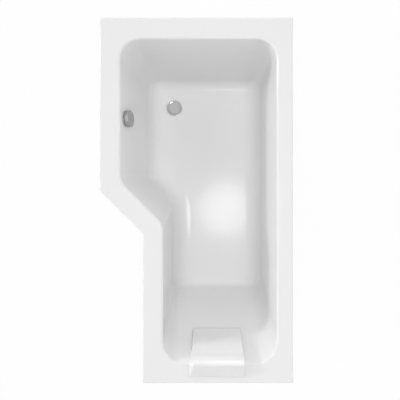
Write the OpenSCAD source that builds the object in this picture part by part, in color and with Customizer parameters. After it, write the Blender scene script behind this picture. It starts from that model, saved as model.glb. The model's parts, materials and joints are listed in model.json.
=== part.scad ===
// Shower bath in moulded acrylic: a wide standing end with the waste, a 45 degree step on the open side and a
// narrow end with a sloping backrest and a soft headrest. Under the shell are the base board, the rim battens,
// two cross rails, five levelling legs, the trap and the cable-worked pop-up waste.
// Millimetres. +Z is up, +Y points to the wide end and +X to the straight side that stands against the wall.
// The origin is on the floor, under the middle of the rim.

/* [Rim] */
// Overall length, along Y
bath_l = 1700; // [1650:10:1800]
// Overall width across the wide end, along X
bath_w = 900; // [880:5:950]
// How far the step sets the narrow end in from the open side
step_in = 200; // [180:5:220]
// Length of the wide end along its open side, before the step
wide_l = 805; // [770:5:850]
// Height of the rim above the floor with the legs as supplied
rim_h = 570; // [555:5:620]
// Depth of the turned-down lip
lip_h = 35; // [30:1:45]
// Radius of the rim's outer edge
edge_r = 5; // [4:0.5:6]
// Radius of the rim's inner edge, where it turns down into the walls
mouth_r = 12; // [9:1:16]
// Thickness of the shell, acrylic and resin backing together
shell_t = 5; // [4:0.5:6]
// Width of the rim on the straight side
rim_straight_w = 75; // [70:1:85]
// Width of the rim at the wide end
rim_wide_w = 98; // [90:1:105]
// Width of the rim on the open side
rim_open_w = 93; // [88:1:100]
// Width of the rim along the step
rim_step_w = 96; // [90:1:102]
// Width of the rim beside the narrow end
rim_narrow_w = 93; // [88:1:100]
// Width of the rim behind the backrest
rim_back_w = 95; // [90:1:110]

/* [Basin] */
// Depth of the floor at the waste, below the rim
depth = 395; // [380:5:405]
// Fall of the floor from the foot of the backrest to the waste
floor_fall = 8; // [4:1:12]
// Lean of the wall on the straight side, from upright
straight_lean = 6.3; // [4:0.1:9]
// Lean of the wall at the wide end
wide_lean = 17; // [14:0.5:19]
// Lean of the wall on the open side
open_lean = 15.8; // [13:0.1:17]
// Lean of the wall along the step
step_lean = 14.6; // [12:0.1:16]
// Lean of the wall beside the narrow end
narrow_lean = 4.8; // [3:0.1:6]
// Lean of the backrest
back_lean = 37; // [33:0.5:39]
// Radius of the cove at the foot of the straight wall
straight_cove_r = 72; // [60:1:80]
// Radius of the cove at the wide end
wide_cove_r = 63; // [55:1:75]
// Radius of the cove on the open side
open_cove_r = 80; // [65:1:85]
// Radius of the cove along the step
step_cove_r = 76; // [65:1:85]
// Radius of the cove beside the narrow end
narrow_cove_r = 84; // [65:1:90]
// Radius of the cove at the foot of the backrest
back_cove_r = 50; // [40:1:65]
// Angle at which each cove meets the floor panel, which leaves a crisp line round it
crease_a = 4; // [0:0.5:6]

/* [Under the bath] */
// Thickness of the base board
board_t = 15; // [12:1:18]
// Width of a rim batten
batten_w = 40; // [32:1:45]
// Thickness of a rim batten
batten_t = 30; // [24:1:30]
// Width of a cross rail
rail_w = 40; // [36:1:50]
// Height of a cross rail's folded sides
rail_h = 24; // [18:1:28]
// Sheet thickness of the rails and brackets
steel_t = 2; // [1.5:0.5:3]
// Distance of the wide end's rail from that end
rail_wide_from_end = 520; // [490:5:570]
// Distance of the narrow end's rail from that end
rail_narrow_from_end = 450; // [440:5:530]
// Distance of both wall-side legs from the straight side
leg_wall_in = 65; // [55:5:80]
// Distance of the wide rail's outer leg from the open side
leg_open_in = 110; // [100:5:125]
// Distance of the narrow rail's outer leg from the narrow end's side
leg_narrow_in = 65; // [55:5:80]
// Distance of the centre leg from the straight side
leg_centre_in = 350; // [330:5:370]
// Diameter of a leg's threaded rod
rod_d = 10; // [8:1:12]
// How far the rods stand above the wide end's rail
rod_over = 48; // [40:1:60]
// Bare rod between a foot and its nut, with the legs as supplied
rod_show = 15; // [13:1:20]
// Diameter of a foot on the floor
foot_d = 60; // [50:1:70]

/* [Waste and trap] */
// Distance of the waste from the open side
waste_from_side = 326; // [320:1:340]
// Distance of the waste from the wide end
waste_from_end = 346; // [335:1:360]
// Diameter of the hole in the bath floor
waste_hole_d = 52; // [50:1:54]
// Diameter of the chrome waste flange
flange_d = 82; // [78:1:84]
// Diameter of the plug's disc
plug_d = 64; // [60:1:66]
// Diameter of the plug's stem
stem_d = 8; // [6:1:9]
// Travel of the plug from shut to open
plug_lift = 9; // [6:1:10]
// Outside diameter of the trap's pipe and outlet
trap_d = 42; // [38:1:42]
// Radius of the trap's bends, at the middle of the pipe
trap_bend_r = 28; // [26:1:30]
// Free length of the outlet spigot
outlet_l = 50; // [40:5:70]

/* [Overflow] */
// Distance of the overflow from the wide end
overflow_from_end = 460; // [450:1:480]
// Height of the overflow's centre below the rim
overflow_drop = 70; // [66:1:80]
// Diameter of the rotary knob
knob_d = 80; // [74:1:84]
// How far the knob's front stands off the wall
knob_reach = 25; // [22:1:28]
// Diameter of the overflow hose
hose_d = 32; // [28:1:34]
// Diameter of the control cable's sheath
cable_d = 6; // [5:0.5:6]

/* [Headrest] */
// Width of the pad on the rim
pad_top_w = 252; // [230:2:270]
// Width of the pad at its lower end
pad_low_w = 228; // [210:2:250]
// Thickness of the pad on the backrest
pad_t = 34; // [28:1:40]
// Length of the pad down the backrest
pad_drop_l = 185; // [160:5:210]
// Length of the pad over the flat of the rim
pad_rim_l = 56; // [45:1:60]
// Distance of the pad's middle from the straight side
pad_from_side = 351; // [340:1:365]

/* [Hidden] */

$fn = 64;
bond = 0.2;             // resin or glue line between bonded faces
rest_gap = 0.3;         // gap under what only rests on its seat
run_gap = 0.05;         // radial clearance of a turning or sliding fit
skin = 1;               // how far a cutting shape passes the face that it cuts

// The six sides of the plan, anticlockwise from above. Corner n lies between side n and the next side.
STRAIGHT = 0;
WIDE_END = 1;
OPEN = 2;
STEP = 3;
NARROW = 4;
NARROW_END = 5;
SIDES = [STRAIGHT, WIDE_END, OPEN, STEP, NARROW, NARROW_END];

half_w = bath_w / 2;
half_l = bath_l / 2;
narrow_off = half_w - step_in;
step_side = half_w - (half_l - wide_l);
side_normal = [[1, 0], [0, 1], [-1, 0], [-sqrt(0.5), -sqrt(0.5)], [-1, 0], [0, -1]];
edge_off = [half_w, half_l, half_w, step_side * sqrt(0.5), narrow_off, half_l];
rim_w = [rim_straight_w, rim_wide_w, rim_open_w, rim_step_w, rim_narrow_w, rim_back_w];
lean = [straight_lean, wide_lean, open_lean, step_lean, narrow_lean, back_lean];
cove_r = [straight_cove_r, wide_cove_r, open_cove_r, step_cove_r, narrow_cove_r, back_cove_r];

// How far each corner's curve reaches along the side before it and the side after it.
corner_steps = 8;
corner_turn = [90, 90, 45, 45, 90, 90];
corner_sign = [1, 1, 1, -1, 1, 1];
edge_reach = [for (turn = corner_turn) [edge_r, edge_r] * tan(turn / 2)];
mouth_reach = [[93, 93], [93, 93], [38, 38], [30, 30], [114, 77], [77, 114]];
base_reach = [[60, 60], [60, 60], [25, 25], [41, 41], [60, 35], [35, 60]];
floor_reach = [[15, 15], [15, 15], [25, 25], [63, 63], [15, 15], [15, 15]];

floor_z = rim_h - depth;
waste_x = waste_from_side - half_w;
waste_y = half_l - waste_from_end;
overflow_y = half_l - overflow_from_end;
rail_wide_y = half_l - rail_wide_from_end;
rail_narrow_y = rail_narrow_from_end - half_l;
pad_x = half_w - pad_from_side;

// Where the line of a side's wall would meet the flat of the rim.
function mouth_off(s) = edge_off[s] - rim_w[s];
// Where the flat of the rim ends on a side.
function flat_off(s) = mouth_off(s) + mouth_r * tan((90 - lean[s]) / 2);
// Where a side's cove would touch the floor.
function floor_off(s) = mouth_off(s) - depth * tan(lean[s]) - cove_r[s] * tan((90 - lean[s]) / 2);

// The floor falls evenly towards the waste, so every depth is stretched a little with its distance from there.
fall_rate = floor_fall / (depth * (waste_y + floor_off(NARROW_END)));
function fall_scale(y) = 1 + fall_rate * (y - waste_y);
function height_at(drop, y) = rim_h - drop * fall_scale(y);

// Side profile: [offset from the middle, drop below the rim] at a station, grown outwards by t.
function lip_point(s, t) = [edge_off[s] - t, lip_h];
function edge_point(s, a) = [edge_off[s] - edge_r + edge_r * sin(a), edge_r - edge_r * cos(a)];
function corner_point(s, t) = [edge_off[s] - t, t];
function mouth_point(s, t, f) = let (a = f * (90 - lean[s]))
    [flat_off(s) - (mouth_r - t) * sin(a), mouth_r - (mouth_r - t) * cos(a)];
function cove_angle(s, f) = 90 - lean[s] + f * (crease_a - 90 + lean[s]);
function cove_point(s, t, f) = let (a = cove_angle(s, f))
    [floor_off(s) + (cove_r[s] + t) * sin(a), f == 1 ? depth + t : depth - cove_r[s] + (cove_r[s] + t) * cos(a)];
function blend(a, b, f) = a + (b - a) * f;

// Growth of a corner's reach when its outline moves outwards by t.
function grown(reach, c, t) = reach[c] + [t, t] * corner_sign[c] * tan(corner_turn[c] / 2);
function reach_at(a, b, f, t) = [for (c = SIDES) blend(a[c], b[c], f) + grown(reach_zero, c, t)];
reach_zero = [for (c = SIDES) [0, 0]];

function cross2(a, b) = a[0] * b[1] - a[1] * b[0];
function meet(n1, o1, n2, o2) =
    [o1 * n2[1] - o2 * n1[1], n1[0] * o2 - n2[0] * o1] / cross2(n1, n2);
function along(n) = [-n[1], n[0]];

// Points of one rounded corner, with its height easing from one side's drop to the next.
function corner_arc(c, profile, reach) =
    let (d = (c + 1) % 6, n1 = side_normal[c], n2 = side_normal[d], turn = corner_turn[c],
         p = meet(n1, profile[c][0], n2, profile[d][0]), th = tan(turn / 2))
    [for (k = [0:corner_steps])
        let (a = turn * k / corner_steps, w = (1 - cos(180 * k / corner_steps)) / 2,
             before = (th - sin(a) + (1 - cos(a)) / tan(turn)) / th,
             before_fixed = turn == 90 ? 1 - sin(a) : before,
             after = (1 - cos(a)) / (sin(turn) * th),
             q = p - along(n1) * reach[c][0] * before_fixed + along(n2) * reach[c][1] * after,
             drop = blend(profile[c][1], profile[d][1], w))
        [q[0], q[1], height_at(drop, q[1])]];

function ring(profile, reach) = [for (c = SIDES) each corner_arc(c, profile, reach)];

edge_steps = 4;
mouth_steps = 5;
cove_steps = 8;
under_steps = 4;

// Share of the cove's width that lies outside a station, for the first side; the corners follow it.
function cove_share(f) =
    (sin(cove_angle(STRAIGHT, 0)) - sin(cove_angle(STRAIGHT, f)))
    / (sin(cove_angle(STRAIGHT, 0)) - sin(cove_angle(STRAIGHT, 1)));

function lip_ring(t) = ring([for (s = SIDES) lip_point(s, t)], edge_reach);
function edge_ring(a) = ring([for (s = SIDES) edge_point(s, a)], edge_reach);
function corner_ring(t) = ring([for (s = SIDES) corner_point(s, t)], edge_reach);
function mouth_ring(t, f) = ring([for (s = SIDES) mouth_point(s, t, f)],
    reach_at(mouth_reach, mouth_reach, 0, t + (mouth_r - t) * (1 - sin(f * (90 - straight_lean)))));
function wall_ring(t, f) = ring([for (s = SIDES) blend(mouth_point(s, t, 1), cove_point(s, t, 0), f)],
    reach_at(mouth_reach, base_reach, f, t));
function cove_ring(t, f) = ring([for (s = SIDES) cove_point(s, t, f)],
    reach_at(base_reach, floor_reach, cove_share(f), t));

top_rings = [
    lip_ring(0),
    for (k = [0:edge_steps]) edge_ring(90 - 90 * k / edge_steps),
    for (k = [0:mouth_steps]) mouth_ring(0, k / mouth_steps),
    wall_ring(0, 0.5),
    for (k = [0:cove_steps]) cove_ring(0, k / cove_steps)];
under_rings = [
    for (k = [0:under_steps]) cove_ring(shell_t, 1 - k / under_steps),
    wall_ring(shell_t, 0.5),
    for (k = [0:under_steps - 1]) mouth_ring(shell_t, 1 - k / (under_steps - 1)),
    corner_ring(shell_t),
    lip_ring(shell_t)];

// A closed loft through rings of equal length: a cap at the seam and a band back to the first ring.
module looped_loft(first, second) {
    n = len(first[0]);
    rings = concat(first, second);
    m = len(rings);
    seam = len(first) - 1;
    faces = [
        for (r = [0:m - 1]) if (r != seam) for (k = [0:n - 1])
            let (a = r * n + k, b = r * n + (k + 1) % n, c = ((r + 1) % m) * n + k, d = ((r + 1) % m) * n + (k + 1) % n)
            each [[a, c, b], [b, c, d]],
        [for (k = [n - 1:-1:0]) seam * n + k],
        [for (k = [0:n - 1]) (seam + 1) * n + k]];
    polyhedron(points = [for (r = rings) each r], faces = faces, convexity = 6);
}

// A tube of slices along a route, closed at both ends. radii gives each slice's radius.
function unit(v) = v / norm(v);
function tangent(path, i) = unit(path[min(i + 1, len(path) - 1)] - path[max(i - 1, 0)]);
function slice_at(p, t, r, sides) = let (u = unit(cross([0, 1, 0], t)), v = cross(t, u))
    [for (k = [0:sides - 1]) p + r * (cos(360 * k / sides) * u + sin(360 * k / sides) * v)];
function spline_point(p0, p1, p2, p3, f) = 0.5 * (2 * p1 + (p2 - p0) * f
    + (2 * p0 - 5 * p1 + 4 * p2 - p3) * f * f + (3 * p1 - p0 - 3 * p2 + p3) * f * f * f);
function smooth_path(p, steps) = [
    for (i = [0:len(p) - 2]) for (k = [0:steps - 1])
        spline_point(p[max(i - 1, 0)], p[i], p[i + 1], p[min(i + 2, len(p) - 1)], k / steps),
    p[len(p) - 1]];

module swept_tube(path, radii, sides) {
    n = len(path);
    points = [for (i = [0:n - 1]) each slice_at(path[i], tangent(path, i), radii[i], sides)];
    faces = [
        for (i = [0:n - 2]) for (k = [0:sides - 1])
            let (a = i * sides + k, b = i * sides + (k + 1) % sides, c = a + sides, d = b + sides)
            each [[a, b, c], [b, d, c]],
        [for (k = [sides - 1:-1:0]) k],
        [for (k = [0:sides - 1]) (n - 1) * sides + k]];
    polyhedron(points = points, faces = faces, convexity = 6);
}

module tube(outer_d, inner_d, h) {
    difference() {
        cylinder(d = outer_d, h = h);
        translate([0, 0, -skin]) cylinder(d = inner_d, h = h + 2 * skin);
    }
}

// ---- Waste: heights on its own axis ----
recess_depth = 4;
seat_z = floor_z - recess_depth;
boss_z = floor_z - shell_t - 4;
gasket_t = 3;
top_gasket_t = 1.5;
flange_t = 2;
flange_z = seat_z + top_gasket_t;
body_top_z = boss_z - gasket_t;
boss_d = flange_d + 18;
recess_d = flange_d + 4;
tail_d = waste_hole_d - 2;
tail_wall = 2;
neck_l = 12;
chamber_d = 66;
chamber_wall = 4;
chamber_h = 46;
chamber_z = body_top_z - chamber_h;
outlet_tail_d = trap_d + 4;
outlet_tail_z = chamber_z - 18;
inlet_z = chamber_z + 18;
inlet_d = 28;
inlet_reach = chamber_d / 2 + 33;
gland_y = 24;
gland_z = chamber_z + 10;
gland_reach = 46;
gland_d = cable_d + 5;
hub_z = body_top_z - neck_l + 1;
hub_h = 10;
guide_d = stem_d + 6;

module at_waste() {
    translate([waste_x, waste_y, 0]) children();
}

// ---- Overflow: its own axis runs from behind the wall into the bath ----
open_tilt = atan(tan(open_lean) / fall_scale(overflow_y));
overflow_x = -mouth_off(OPEN) + tan(open_lean) * overflow_drop / fall_scale(overflow_y);
overflow_hole_d = 54;
housing_flange_d = 76;
housing_flange_t = 4;
housing_d = 60;
housing_bore_d = 52;
housing_z = -shell_t - bond - gasket_t;
housing_back_z = -46;
housing_wall = 3;
spigot_z = -28;
spigot_reach = 62;
cable_gland_y = 22;
cable_gland_z = -38;
cable_gland_reach = 44;
ring_t = 4;
ring_tail_l = 24;
ring_wall = 3;
spindle_d = 8;
crank_d = 30;
crank_t = 5;
crank_z = housing_back_z + housing_wall + 2;

module at_overflow() {
    translate([overflow_x, overflow_y, rim_h - overflow_drop]) rotate([0, 90 - open_tilt, 0]) children();
}

// ---- Shell ----
module bath_shell() {
    color("white") difference() {
        union() {
            looped_loft(top_rings, under_rings);
            at_waste() translate([0, 0, boss_z]) cylinder(d = boss_d, h = seat_z - boss_z);
        }
        at_waste() translate([0, 0, seat_z]) cylinder(d = recess_d, h = recess_depth + shell_t);
        at_waste() translate([0, 0, boss_z - skin]) cylinder(d = waste_hole_d, h = depth);
        at_overflow() translate([0, 0, -shell_t - skin])
            cylinder(d = overflow_hole_d, h = shell_t + 2 * skin);
    }
}

// ---- Base board: follows the floor panel and its fall ----
board_inset = 8;
board_slope = atan(fall_rate * (depth + shell_t));
board_notch = 60;
function board_top_z(y) = height_at(depth + shell_t, y) - bond;
function board_under_z(y) = board_top_z(y) - board_t / cos(board_slope);
function board_corner(a, b) = meet(side_normal[a], floor_off(a) - board_inset,
    side_normal[b], floor_off(b) - board_inset);

module board_outline() {
    notch_x = waste_x + board_notch;
    notch_y = waste_y - board_notch;
    corner_r = 12;
    difference() {
        polygon([for (c = SIDES) board_corner(c, (c + 1) % 6)]);
        translate([notch_x - bath_w, notch_y + corner_r]) square([bath_w, bath_l]);
        translate([notch_x - corner_r - bath_w, notch_y]) square([bath_w, bath_l]);
        translate([notch_x - corner_r, notch_y + corner_r]) circle(r = corner_r);
    }
}

screw_d = 4.5;
screw_l = 17;
screw_head_d = 9;
screw_head_h = 2.6;
screw_hole_depth = 12;
screw_margin = 38;
rail_screw_l = 13;
plate_screw_l = 14;
function screw_row(side) = let (a = board_inset - floor_off(side) + screw_margin,
    b = floor_off(STRAIGHT) - board_inset - screw_margin) [for (k = [0:3]) blend(a, b, k / 3)];
rail_screw_x = screw_row(OPEN);
narrow_screw_x = screw_row(NARROW);
plate_w = 90;
plate_t = 3;
plate_screw_at = 34;
plate_x = half_w - leg_centre_in;
plate_y = -40;

module base_board() {
    color("burlywood") difference() {
        translate([0, waste_y, board_top_z(waste_y)]) rotate([-board_slope, 0, 0])
            translate([0, -waste_y, -board_t]) linear_extrude(board_t) board_outline();
        at_rail_screws() translate([0, 0, -skin]) cylinder(d = screw_d + 2 * run_gap, h = screw_hole_depth + skin);
    }
}

// Upward screws: the origin is at the board's underside or just below it, where the rail or plate ends.
module at_rail_screws() {
    for (x = rail_screw_x) translate([x, rail_wide_y, rail_top_z(rail_wide_y)]) children();
    for (x = narrow_screw_x) translate([x, rail_narrow_y, rail_top_z(rail_narrow_y)]) children();
    for (x = [-1, 1], y = [-1, 1])
        translate([plate_x + x * plate_screw_at, plate_y + y * plate_screw_at, plate_top_z]) children();
}

// ---- Rails ----
function rail_top_z(y) = board_under_z(y + rail_w / 2) - bond;
plate_top_z = board_under_z(plate_y + plate_w / 2) - bond;
rail_end = 30;
rod_hole_d = rod_d + 1;

module cross_rail(y, x_from, x_to, screw_xs) {
    top = rail_top_z(y);
    bend_r = 3;
    color("silver") difference() {
        translate([x_from - rail_end, y, top]) rotate([90, 0, 90])
            linear_extrude(x_to - x_from + 2 * rail_end) difference() {
                union() {
                    translate([-rail_w / 2, -rail_h]) square([rail_w, rail_h - bend_r]);
                    translate([-rail_w / 2 + bend_r, -rail_h]) square([rail_w - 2 * bend_r, rail_h]);
                    for (side = [-1, 1]) translate([side * (rail_w / 2 - bend_r), -bend_r]) circle(r = bend_r);
                }
                translate([-rail_w / 2 + steel_t, -rail_h - skin])
                    square([rail_w - 2 * steel_t, rail_h - steel_t + skin]);
            }
        for (x = [x_from, x_to]) translate([x, y, top - rail_h]) cylinder(d = rod_hole_d, h = rail_h + skin);
        for (x = screw_xs) translate([x, y, top - rail_h]) cylinder(d = screw_d + 0.6, h = rail_h + skin);
    }
}

module rail_wide() {
    cross_rail(rail_wide_y, leg_open_x, leg_wall_x, rail_screw_x);
}

module rail_narrow() {
    cross_rail(rail_narrow_y, leg_narrow_x, leg_wall_x, narrow_screw_x);
}

screw_tip_l = 4;
screw_tip_d = 1;
screw_head_taper = 2;

module wood_screw(sheet_t, length) {
    translate([0, 0, -sheet_t - screw_head_h])
        cylinder(d1 = screw_head_d - screw_head_taper, d2 = screw_head_d, h = screw_head_h);
    translate([0, 0, -sheet_t - screw_head_h]) cylinder(d = screw_d, h = length - screw_tip_l + screw_head_h);
    translate([0, 0, length - screw_tip_l - sheet_t]) cylinder(d1 = screw_d, d2 = screw_tip_d, h = screw_tip_l);
}

module rail_screws() {
    color("gray") {
        for (x = rail_screw_x) translate([x, rail_wide_y, rail_top_z(rail_wide_y)])
            wood_screw(steel_t, rail_screw_l);
        for (x = narrow_screw_x) translate([x, rail_narrow_y, rail_top_z(rail_narrow_y)])
            wood_screw(steel_t, rail_screw_l);
        for (x = [-1, 1], y = [-1, 1])
            translate([plate_x + x * plate_screw_at, plate_y + y * plate_screw_at, plate_top_z])
                wood_screw(plate_t, plate_screw_l);
    }
}

// ---- Centre leg's plate with its threaded sleeve ----
nut_w = 17;
nut_h = 8;
sleeve_d = 22;
// The sleeve and the foot below it share the height that the nut and the bare rod leave.
sleeve_l = (plate_top_z - plate_t - nut_h - rod_show) / 2;
sleeve_end_z = plate_top_z - plate_t - sleeve_l;

module centre_plate() {
    color("silver") translate([plate_x, plate_y, 0]) difference() {
        union() {
            translate([-plate_w / 2, -plate_w / 2, plate_top_z - plate_t]) cube([plate_w, plate_w, plate_t]);
            translate([0, 0, sleeve_end_z]) cylinder(d = sleeve_d, h = sleeve_l + plate_t / 2);
        }
        translate([0, 0, sleeve_end_z - skin]) cylinder(d = rod_d + 2 * run_gap, h = sleeve_l + skin);
        for (x = [-1, 1], y = [-1, 1]) translate([x * plate_screw_at, y * plate_screw_at, plate_top_z - plate_t - skin])
            cylinder(d = screw_d + 0.6, h = plate_t + 2 * skin);
    }
}

// ---- Legs: [x, y, height of the face that its lower nut bears on, height of the foot, length of the rod] ----
foot_rod_z = 14;
rod_headroom = 15;
leg_wall_x = half_w - leg_wall_in;
leg_open_x = leg_open_in - half_w;
leg_narrow_x = leg_narrow_in - narrow_off;
foot_h = rail_top_z(rail_wide_y) - steel_t - nut_h - rod_show;
rod_l = rail_top_z(rail_wide_y) + rod_over - foot_rod_z;
centre_foot_h = sleeve_l;
centre_rod_l = plate_top_z - plate_t - rod_headroom - foot_rod_z;
LEG_WIDE_WALL = [leg_wall_x, rail_wide_y, rail_top_z(rail_wide_y) - steel_t, foot_h, rod_l];
LEG_WIDE_OPEN = [leg_open_x, rail_wide_y, rail_top_z(rail_wide_y) - steel_t, foot_h, rod_l];
LEG_NARROW_WALL = [leg_wall_x, rail_narrow_y, rail_top_z(rail_narrow_y) - steel_t, foot_h, rod_l];
LEG_NARROW_OPEN = [leg_narrow_x, rail_narrow_y, rail_top_z(rail_narrow_y) - steel_t, foot_h, rod_l];
LEG_CENTRE = [plate_x, plate_y, sleeve_end_z, centre_foot_h, centre_rod_l];
RAIL_LEGS = [LEG_WIDE_WALL, LEG_WIDE_OPEN, LEG_NARROW_WALL, LEG_NARROW_OPEN];

module nut() {
    difference() {
        intersection() {
            cylinder(d = nut_w / cos(30), h = nut_h, $fn = 6);
            cylinder(d1 = nut_w + 0.6, d2 = nut_w + 2 * nut_h, h = nut_h);
            cylinder(d1 = nut_w + 2 * nut_h, d2 = nut_w + 0.6, h = nut_h);
        }
        translate([0, 0, -skin]) cylinder(d = rod_d + 2 * run_gap, h = nut_h + 2 * skin);
    }
}

module nuts_lower() {
    color("silver") for (leg = concat(RAIL_LEGS, [LEG_CENTRE]))
        translate([leg[0], leg[1], leg[2] - nut_h]) nut();
}

module nuts_upper() {
    color("silver") for (leg = RAIL_LEGS) translate([leg[0], leg[1], leg[2] + steel_t]) nut();
}

module leg_rod(leg) {
    chamfer = 1;
    color("silver") translate([leg[0], leg[1], foot_rod_z]) {
        cylinder(d = rod_d, h = leg[4] - chamfer);
        translate([0, 0, leg[4] - chamfer]) cylinder(d1 = rod_d, d2 = rod_d - 2 * chamfer, h = chamfer);
    }
}

// A moulded foot: a broad pad, a tapered column and four ribs between them.
module leg_foot(leg) {
    pad_h = 6;
    rib_h = leg[3] * 0.55;
    rib_t = 3;
    neck_d = rod_d + 14;
    root_d = neck_d + 6;
    color("dimgray") translate([leg[0], leg[1], 0]) difference() {
        union() {
            rotate_extrude() polygon([[0, 0], [foot_d / 2 - 1.5, 0], [foot_d / 2, 1.5], [foot_d / 2, pad_h - 1.5],
                [foot_d / 2 - 1.5, pad_h], [root_d / 2 + 4, pad_h + 1], [root_d / 2, pad_h + 6],
                [neck_d / 2, leg[3] - 3], [neck_d / 2 - 1.5, leg[3]], [0, leg[3]]]);
            for (a = [0:90:270]) rotate([90, 0, a]) translate([0, 0, -rib_t / 2]) linear_extrude(rib_t)
                polygon([[0, 1], [foot_d / 2 - 3, pad_h - 1], [foot_d / 2 - 3, pad_h + 2], [neck_d / 2 - 1, rib_h],
                    [0, rib_h]]);
        }
        translate([0, 0, foot_rod_z]) cylinder(d = rod_d + 2 * run_gap, h = leg[3]);
    }
}

module rod_wide_wall() { leg_rod(LEG_WIDE_WALL); }
module rod_wide_open() { leg_rod(LEG_WIDE_OPEN); }
module rod_narrow_wall() { leg_rod(LEG_NARROW_WALL); }
module rod_narrow_open() { leg_rod(LEG_NARROW_OPEN); }
module rod_centre() { leg_rod(LEG_CENTRE); }
module foot_wide_wall() { leg_foot(LEG_WIDE_WALL); }
module foot_wide_open() { leg_foot(LEG_WIDE_OPEN); }
module foot_narrow_wall() { leg_foot(LEG_NARROW_WALL); }
module foot_narrow_open() { leg_foot(LEG_NARROW_OPEN); }
module foot_centre() { leg_foot(LEG_CENTRE); }

// ---- Rim battens ----
batten_gap = 1;
batten_back = shell_t + bond;
// How much shorter than its side each batten is, at its start and at its end.
batten_end = edge_r + 1;
batten_trim = [[batten_w + batten_gap, batten_w + batten_gap], [batten_end, batten_end],
    [batten_w + batten_gap, 24], [22, 22], [24, batten_w + batten_gap], [batten_end, batten_end]];

module batten(s) {
    before = (s + 5) % 6;
    after = (s + 1) % 6;
    line = edge_off[s] - batten_back;
    start = meet(side_normal[before], edge_off[before] - batten_back, side_normal[s], line);
    end = meet(side_normal[s], line, side_normal[after], edge_off[after] - batten_back);
    run = norm(end - start) - batten_trim[s][0] - batten_trim[s][1];
    way = along(side_normal[s]);
    color("wheat") difference() {
        translate([start[0], start[1], rim_h - batten_back - batten_t])
            rotate(atan2(way[1], way[0])) translate([batten_trim[s][0], 0, 0]) cube([run, batten_w, batten_t]);
        at_brackets() at_bracket_screws() translate([0, 0, -skin])
            cylinder(d = screw_d + 2 * run_gap, h = bracket_screw_l);
    }
}

module batten_straight() { batten(STRAIGHT); }
module batten_wide_end() { batten(WIDE_END); }
module batten_open() { batten(OPEN); }
module batten_step() { batten(STEP); }
module batten_narrow() { batten(NARROW); }
module batten_narrow_end() { batten(NARROW_END); }

// ---- Wall brackets, under the battens of the three wall sides ----
bracket_w = 32;
bracket_arm = 42;
bracket_leg = 40;
bracket_hole_d = 6.4;
bracket_hole_z = 26;
bracket_screw_at = 9;
bracket_screw_l = 20;
bracket_top_z = rim_h - batten_back - batten_t - bond;
// [side, distance along the side from the middle of the bath]
BRACKETS = [[STRAIGHT, 520], [STRAIGHT, -520], [WIDE_END, -150], [NARROW_END, 150]];

module at_brackets() {
    for (b = BRACKETS) {
        way = along(side_normal[b[0]]);
        spot = side_normal[b[0]] * edge_off[b[0]] + way * b[1];
        translate([spot[0], spot[1], bracket_top_z]) rotate(atan2(side_normal[b[0]][1], side_normal[b[0]][0]))
            children();
    }
}

module at_bracket_screws() {
    for (y = [-1, 1]) translate([-bracket_arm / 2 - 4, y * bracket_screw_at, 0]) children();
}

module wall_brackets() {
    color("silver") at_brackets() difference() {
        union() {
            translate([-bracket_arm, -bracket_w / 2, -steel_t]) cube([bracket_arm, bracket_w, steel_t]);
            translate([-steel_t, -bracket_w / 2, -bracket_leg]) cube([steel_t, bracket_w, bracket_leg]);
        }
        translate([-steel_t - skin, 0, -bracket_hole_z]) rotate([0, 90, 0])
            cylinder(d = bracket_hole_d, h = steel_t + 2 * skin);
        at_bracket_screws() translate([0, 0, -steel_t - skin])
            cylinder(d = screw_d + 0.6, h = steel_t + 2 * skin);
    }
}

// ---- Waste ----
module waste_gasket_top() {
    color("dimgray") at_waste() translate([0, 0, seat_z]) tube(flange_d - 4, waste_hole_d, top_gasket_t);
}

module waste_gasket_bottom() {
    color("dimgray") at_waste() translate([0, 0, body_top_z]) tube(chamber_d + 10, waste_hole_d, gasket_t);
}

// A dished flange with a rounded lip, a conical seat, a tail and a four-armed guide for the plug's stem.
module waste_flange() {
    tail_bottom = body_top_z - neck_l;
    color("silver") at_waste() {
        rotate_extrude() polygon([
            [tail_d / 2, tail_bottom], [tail_d / 2, flange_z],
            [flange_d / 2 - 0.5, flange_z], [flange_d / 2, flange_z + 0.6], [flange_d / 2 - 0.6, flange_z + 1.6],
            [flange_d / 2 - 2.5, flange_z + flange_t], [plug_d / 2 + 3.5, flange_z + flange_t],
            [plug_d / 2 + 2, flange_z + 1], [tail_d / 2 + 0.5, flange_z + dish_t],
            [tail_d / 2 - tail_wall, flange_z + dish_t - tail_wall - 0.5],
            [tail_d / 2 - tail_wall, tail_bottom]]);
        translate([0, 0, hub_z]) difference() {
            union() {
                cylinder(d = guide_d, h = hub_h);
                for (a = [0:90:270]) rotate(a) translate([guide_d / 2 - 1, -1.5, hub_h - 5])
                    cube([(tail_d - tail_wall - guide_d) / 2 + 1, 3, 5]);
            }
            translate([0, 0, -skin]) cylinder(d = stem_d + 2 * run_gap, h = hub_h + 2 * skin);
        }
    }
}

// The plug's seal lies just above the cone at the mouth of the tail.
dish_t = 0.8;
stem_end_z = chamber_z + 25;
seal_d = 3;
seal_ring_d = tail_d - 4;
seal_z = flange_z + dish_t + 0.2;
plug_under_z = seal_z + seal_d / 2 + 0.2;
plug_top_z = plug_under_z + 2.6;

module waste_plug() {
    color("silver") at_waste() {
        groove_r = seal_ring_d / 2 - seal_d / 2 - 0.1;
        rotate_extrude() polygon([[0, stem_end_z], [1.5, stem_end_z], [stem_d / 2, stem_end_z + 3],
            [stem_d / 2, seal_z - 8],
            [groove_r, seal_z - 1.5], [groove_r, plug_under_z], [tail_d / 2 + 1, plug_under_z],
            [tail_d / 2 + 1.6, flange_z + dish_t + 0.5], [plug_d / 2 - 0.8, flange_z + dish_t + 0.5],
            [plug_d / 2, flange_z + dish_t + 1.2], [plug_d / 2, plug_top_z - 1.6],
            [plug_d / 2 - 0.5, plug_top_z - 0.6], [plug_d / 2 - 1.8, plug_top_z], [0, plug_top_z]]);
    }
}

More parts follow.
